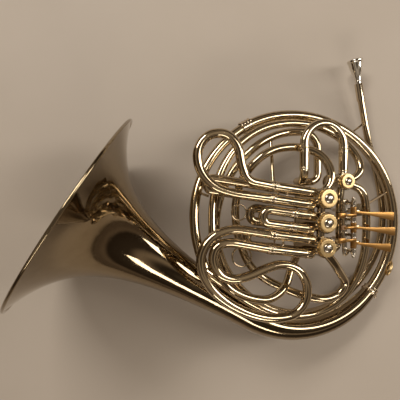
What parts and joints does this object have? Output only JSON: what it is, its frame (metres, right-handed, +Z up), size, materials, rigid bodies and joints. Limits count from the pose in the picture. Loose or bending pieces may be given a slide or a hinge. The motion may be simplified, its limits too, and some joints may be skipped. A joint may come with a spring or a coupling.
{
  "type": "french horn",
  "caption": "Double french horn with a wide flared bell, coiled tubing, rotary valves with finger levers, and tuning slides that draw out.",
  "frame": {"origin": "centre of the bounding box at the surface the horn lies on", "axes": "+Z up from the surface, +X from the bell towards the finger levers, +Y towards the mouthpiece"},
  "size_m": [0.6025, 0.4533, 0.2926],
  "materials": {
    "nickel_silver": "polished nickel silver, lacquered",
    "gold_brass": "satin lacquered brass",
    "lever_brass": "polished brass",
    "rotor_brass": "machined",
    "steel": "turned steel",
    "silver_plate": "silver plated, polished",
    "cord": "waxed linkage cord"
  },
  "bodies": {
    "horn": {"bell_flare": "nickel_silver", "bell_tail": "nickel_silver", "outer_branch": "nickel_silver", "left_branch": "nickel_silver", "leadpipe": "nickel_silver", "coil_pipe": "nickel_silver", "mouthpiece_receiver": "nickel_silver", "inner_coil_pipe": "nickel_silver", "feed_pipe": "nickel_silver", "coil_ferrules": "nickel_silver", "return_pipe_low": "nickel_silver", "return_pipe_high": "nickel_silver", "link_pipe": "nickel_silver", "valve_1_casing": "nickel_silver", "valve_cap_1": "gold_brass", "valve_2_casing": "nickel_silver", "valve_cap_2": "gold_brass", "valve_3_casing": "nickel_silver", "valve_cap_3": "gold_brass", "change_valve_casing": "nickel_silver", "change_valve_cap": "gold_brass", "casing_links": "nickel_silver", "f1_slide_sleeves": "nickel_silver", "f2_slide_sleeves": "nickel_silver", "f3_slide_sleeves": "nickel_silver", "b1_slide_sleeves": "nickel_silver", "b2_slide_sleeves": "nickel_silver", "b3_slide_sleeves": "nickel_silver", "main_slide_sleeves": "nickel_silver", "lever_rod": "steel", "lever_posts": "steel", "thumb_bracket": "steel", "little_finger_hook": "gold_brass", "leadpipe_stay": "nickel_silver", "coil_stays": "nickel_silver"},
    "f1_slide": {"f1_slide": "nickel_silver"},
    "f2_slide": {"f2_slide": "nickel_silver"},
    "f3_slide": {"f3_slide": "nickel_silver"},
    "b1_slide": {"b1_slide": "nickel_silver"},
    "b2_slide": {"b2_slide": "nickel_silver"},
    "b3_slide": {"b3_slide": "nickel_silver"},
    "main_slide": {"main_slide": "nickel_silver"},
    "mouthpiece": {"mouthpiece": "silver_plate"},
    "finger_lever_1": {"finger_lever_1": "lever_brass"},
    "finger_lever_2": {"finger_lever_2": "lever_brass"},
    "finger_lever_3": {"finger_lever_3": "lever_brass"},
    "thumb_lever": {"thumb_lever": "lever_brass"},
    "linkage_1": {"lever_string_1": "cord"},
    "linkage_2": {"lever_string_2": "cord"},
    "linkage_3": {"lever_string_3": "cord"},
    "rotor_1": {"valve_1_rotor": "rotor_brass", "valve_1_stop_arm": "rotor_brass"},
    "rotor_2": {"valve_2_rotor": "rotor_brass", "valve_2_stop_arm": "rotor_brass"},
    "rotor_3": {"valve_3_rotor": "rotor_brass", "valve_3_stop_arm": "rotor_brass"},
    "change_rotor": {"change_valve_rotor": "rotor_brass", "change_valve_stop_arm": "rotor_brass"}
  },
  "joints": [
    {"name": "f1_slide_draw", "type": "slide", "parent": "horn", "child": "f1_slide", "axis": [-0.9584, 0.1357, 0.251], "range_m": [0, 0.03]},
    {"name": "f2_slide_draw", "type": "slide", "parent": "horn", "child": "f2_slide", "axis": [-0.9584, 0.1357, 0.251], "range_m": [0, 0.024]},
    {"name": "f3_slide_draw", "type": "slide", "parent": "horn", "child": "f3_slide", "axis": [-0.9584, 0.1357, 0.251], "range_m": [0, 0.03]},
    {"name": "b1_slide_draw", "type": "slide", "parent": "horn", "child": "b1_slide", "axis": [-0.9584, 0.1357, 0.251], "range_m": [0, 0.03]},
    {"name": "b2_slide_draw", "type": "slide", "parent": "horn", "child": "b2_slide", "axis": [-0.9584, 0.1357, 0.251], "range_m": [0, 0.025]},
    {"name": "b3_slide_draw", "type": "slide", "parent": "horn", "child": "b3_slide", "axis": [-0.9584, 0.1357, 0.251], "range_m": [0, 0.02]},
    {"name": "main_slide_draw", "type": "slide", "parent": "horn", "child": "main_slide", "axis": [0, 0.9999, 0.014], "range_m": [0, 0.026]},
    {"name": "mouthpiece_draw", "type": "slide", "parent": "horn", "child": "mouthpiece", "axis": [-0.1881, 0.9782, 0.0885], "range_m": [0, 0.012]},
    {"name": "rotor_1_turn", "type": "hinge", "parent": "horn", "child": "rotor_1", "pos_m": [0.12516, -0.00397, 0.09982], "axis": [0.2516, -0.0135, 0.9677], "range_deg": [0, 90], "stiffness_Nm_per_rad": 0.002, "springref_deg": -85.94},
    {"name": "finger_lever_1_press", "type": "hinge", "parent": "horn", "child": "finger_lever_1", "pos_m": [0.17803, -0.02344, 0.11887], "axis": [0, 0.9999, 0.014], "range_deg": [0, 12.01]},
    {"name": "linkage_1_pull", "type": "slide", "parent": "horn", "child": "linkage_1", "axis": [-0.9678, -0.0035, 0.2515], "range_m": [0, 0.0141]},
    {"name": "rotor_2_turn", "type": "hinge", "parent": "horn", "child": "rotor_2", "pos_m": [0.12458, -0.03757, 0.0995], "axis": [0.2516, -0.0135, 0.9677], "range_deg": [0, 90], "stiffness_Nm_per_rad": 0.002, "springref_deg": -85.94},
    {"name": "finger_lever_2_press", "type": "hinge", "parent": "horn", "child": "finger_lever_2", "pos_m": [0.17803, -0.04543, 0.11857], "axis": [0, 0.9999, 0.014], "range_deg": [0, 12.01]},
    {"name": "linkage_2_pull", "type": "slide", "parent": "horn", "child": "linkage_2", "axis": [-0.9678, -0.0035, 0.2515], "range_m": [0, 0.0141]},
    {"name": "rotor_3_turn", "type": "hinge", "parent": "horn", "child": "rotor_3", "pos_m": [0.12371, -0.07157, 0.09925], "axis": [0.2516, -0.0135, 0.9677], "range_deg": [0, 90], "stiffness_Nm_per_rad": 0.002, "springref_deg": -85.94},
    {"name": "finger_lever_3_press", "type": "hinge", "parent": "horn", "child": "finger_lever_3", "pos_m": [0.17803, -0.06743, 0.11826], "axis": [0, 0.9999, 0.014], "range_deg": [0, 12.01]},
    {"name": "linkage_3_pull", "type": "slide", "parent": "horn", "child": "linkage_3", "axis": [-0.9678, -0.0035, 0.2515], "range_m": [0, 0.0141]},
    {"name": "change_rotor_turn", "type": "hinge", "parent": "horn", "child": "change_rotor", "pos_m": [0.16707, 0.02093, 0.07894], "axis": [0.2516, -0.0135, 0.9677], "range_deg": [0, 90], "stiffness_Nm_per_rad": 0.002, "springref_deg": -85.94},
    {"name": "thumb_lever_press", "type": "hinge", "parent": "horn", "child": "thumb_lever", "pos_m": [0.18322, -0.02249, 0.0514], "axis": [0, -0.9999, -0.014], "range_deg": [0, 12.01]}
  ],
  "couplings": [
    {"joint": "finger_lever_1_press", "follows": "rotor_1_turn", "ratio": 0.13333},
    {"joint": "linkage_1_pull", "follows": "rotor_1_turn", "m_per_rad": 0.008913},
    {"joint": "finger_lever_2_press", "follows": "rotor_2_turn", "ratio": 0.13333},
    {"joint": "linkage_2_pull", "follows": "rotor_2_turn", "m_per_rad": 0.008913},
    {"joint": "finger_lever_3_press", "follows": "rotor_3_turn", "ratio": 0.13333},
    {"joint": "linkage_3_pull", "follows": "rotor_3_turn", "m_per_rad": 0.008913},
    {"joint": "thumb_lever_press", "follows": "change_rotor_turn", "ratio": 0.13333}
  ]
}
